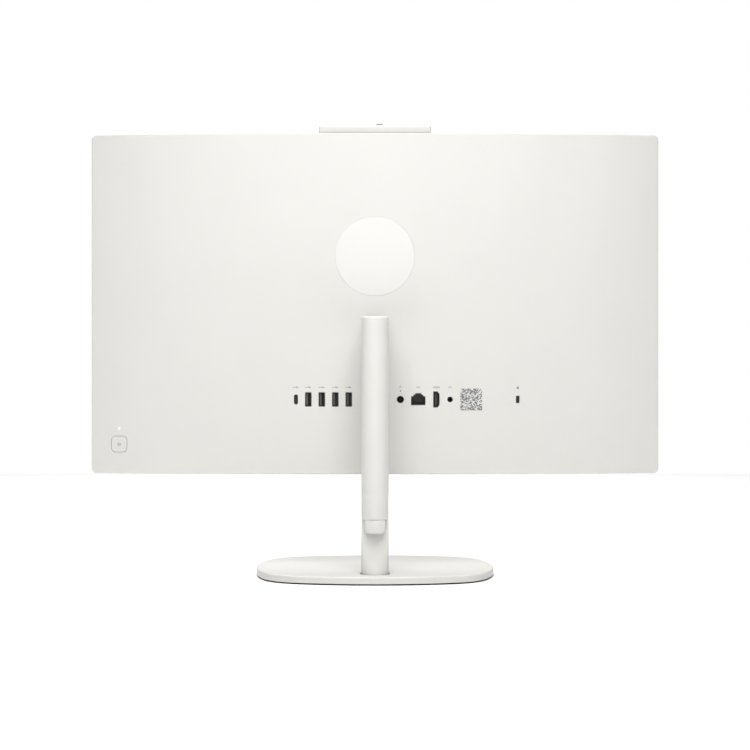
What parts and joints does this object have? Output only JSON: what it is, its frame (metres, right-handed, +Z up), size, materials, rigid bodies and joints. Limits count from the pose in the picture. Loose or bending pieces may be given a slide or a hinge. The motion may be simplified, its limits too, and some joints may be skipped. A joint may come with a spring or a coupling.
{
  "type": "all-in-one desktop computer",
  "caption": "Wide, thin all-in-one desktop computer: tilting screen head with a gently bowed back cover, rear ports and a camera bar, on a slim post and low oval base.",
  "frame": {"origin": "on the table, at the middle of the whole object's footprint box, which is the middle of the base", "axes": "+Z up, +X along the screen's width, +Y out of the back; the screen faces -Y"},
  "size_m": [0.5408, 0.19, 0.4295],
  "materials": {
    "shell": "satin",
    "badge": "gloss",
    "pad": "matte",
    "steel": "satin",
    "weight_steel": "satin",
    "chassis": "satin",
    "screws": "satin",
    "display": "gloss",
    "diffuser": "matte",
    "circuit_board": "satin",
    "black_plastic": "satin",
    "copper": "satin",
    "fins": "satin",
    "port_metal": "satin",
    "tongue": "satin",
    "label": "matte",
    "light_pipe": "gloss",
    "camera_glass": "gloss"
  },
  "bodies": {
    "stand": {"base_pad": "pad", "base_weight": "weight_steel", "base_cover": "shell", "base_thumbscrew": "steel", "neck_shell": "shell", "neck_spine": "weight_steel", "cable_clip": "shell", "hinge_yoke": "weight_steel", "hinge_pin": "steel", "hinge_nut": "steel", "hinge_washers": "black_plastic", "hinge_cover": "shell"},
    "head": {"hinge_lug": "shell", "back_cover": "shell", "mid_frame": "shell", "chin_cover": "shell", "display_glass": "display", "backlight_unit": "diffuser", "panel_tray": "chassis", "panel_driver_board": "circuit_board", "chassis_plate": "chassis", "chassis_screws": "screws", "case_screws": "screws", "system_board": "circuit_board", "processor": "black_plastic", "board_components": "black_plastic", "coin_cell": "steel", "cold_plate": "copper", "heat_pipe": "copper", "fin_stack": "fins", "fan_housing": "black_plastic", "memory_modules": "circuit_board", "module_sockets": "black_plastic", "ssd_module": "circuit_board", "wireless_card": "circuit_board", "antennas": "circuit_board", "display_cable": "black_plastic", "speakers": "black_plastic", "usb_c_port": "port_metal", "usb_a_ports": "port_metal", "port_tongues": "tongue", "dc_jack": "black_plastic", "lan_jack": "port_metal", "hdmi_port": "port_metal", "audio_jack": "black_plastic", "lock_insert": "steel", "badge_disc": "badge", "label_plate": "label", "status_lights": "light_pipe", "power_button_board": "circuit_board", "camera_bracket": "steel", "camera_pivot_pin": "steel"},
    "camera": {"camera_housing": "shell", "camera_window": "camera_glass", "camera_board": "circuit_board", "camera_lens": "black_plastic"},
    "shutter": {"shutter_slider": "black_plastic"},
    "power_button": {"power_button": "shell"},
    "fan": {"fan_rotor": "black_plastic"}
  },
  "joints": [
    {"name": "screen_tilt", "type": "hinge", "parent": "stand", "child": "head", "pos_m": [0, 0.031, 0.231], "axis": [-1, 0, 0], "range_deg": [-5, 20]},
    {"name": "camera_tilt", "type": "hinge", "parent": "head", "child": "camera", "pos_m": [0, -0.0075, 0.4125], "axis": [-1, 0, 0], "range_deg": [-8, 8]},
    {"name": "shutter_slide", "type": "slide", "parent": "camera", "child": "shutter", "axis": [1, 0, 0], "range_m": [0, 0.007]},
    {"name": "power_button_press", "type": "slide", "parent": "head", "child": "power_button", "axis": [-0.1583, -0.9874, 0], "range_m": [0, 0.0008], "stiffness_N_per_m": 1200},
    {"name": "fan_spin", "type": "hinge", "parent": "head", "child": "fan", "pos_m": [-0.095, 0.002, 0.29], "axis": [0, 1, 0], "continuous": true}
  ]
}
